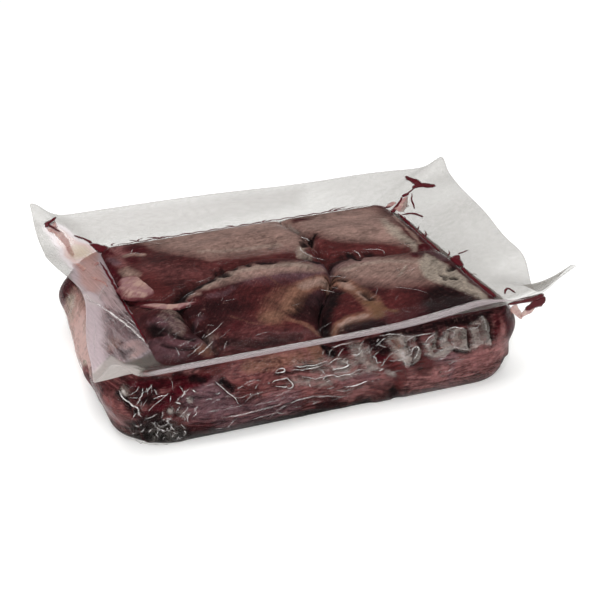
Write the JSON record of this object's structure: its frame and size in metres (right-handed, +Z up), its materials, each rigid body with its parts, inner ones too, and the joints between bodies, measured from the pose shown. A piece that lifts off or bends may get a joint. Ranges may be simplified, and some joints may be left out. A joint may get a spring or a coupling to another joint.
{
  "type": "vacuum pack of raw beef cheeks",
  "caption": "Raw beef cheeks pressed into a rounded block under clear shrunk film, with a wide welded film border standing up round it and curling at its corners.",
  "frame": {"origin": "under the middle of the bounding box, on the plane that the pack rests on", "axes": "+X along the pack towards its right-hand end, +Y towards its back, +Z up"},
  "size_m": [0.2982, 0.211, 0.0847],
  "materials": {
    "beef": "wet raw muscle, purple brown",
    "fat": "smooth greasy fat and tendon",
    "juice": "wet dark red juice",
    "film": "clear glossy film, faintly milky where two webs are welded"
  },
  "bodies": {
    "root": {"sealed_pack": "beef"}
  },
  "joints": []
}
